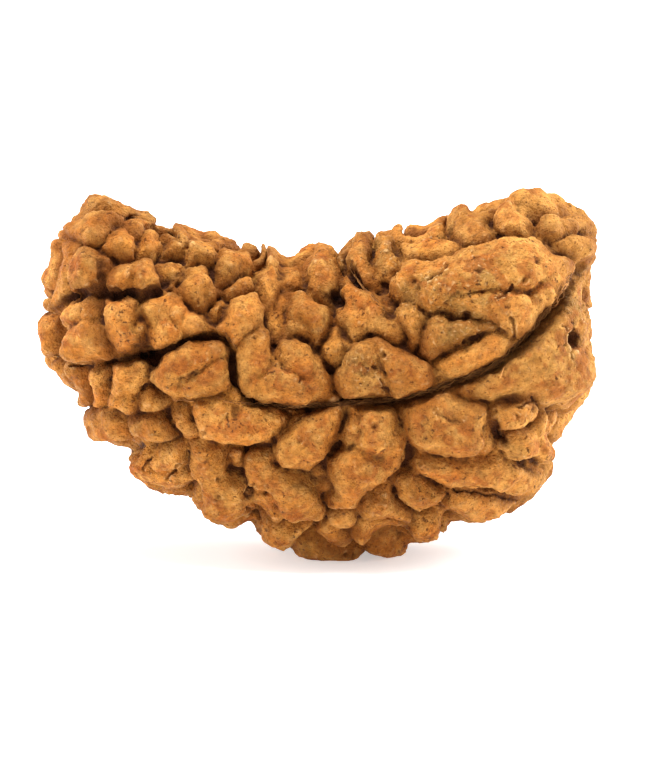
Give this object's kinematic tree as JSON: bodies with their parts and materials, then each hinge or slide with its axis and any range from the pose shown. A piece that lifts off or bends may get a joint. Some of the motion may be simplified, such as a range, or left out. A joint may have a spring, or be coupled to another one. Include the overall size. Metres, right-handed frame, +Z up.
{
  "type": "rudraksha stone",
  "caption": "Half-moon rudraksha stone: a hard seed shell covered in swollen, close-packed lumps, with one groove from tip to tip.",
  "frame": {"origin": "on the small flat spot under the stone that it rests on, near its middle", "axes": "+X along the half-moon from the left tip to the right tip as the front face is seen, +Y away from the front face through the thickness, +Z up"},
  "size_m": [0.028, 0.0134, 0.018],
  "materials": {
    "rudraksha_stone": "dry matte seed shell with a faint sheen on the lumps"
  },
  "bodies": {
    "root": {"rudraksha_stone": "rudraksha_stone"}
  },
  "joints": []
}
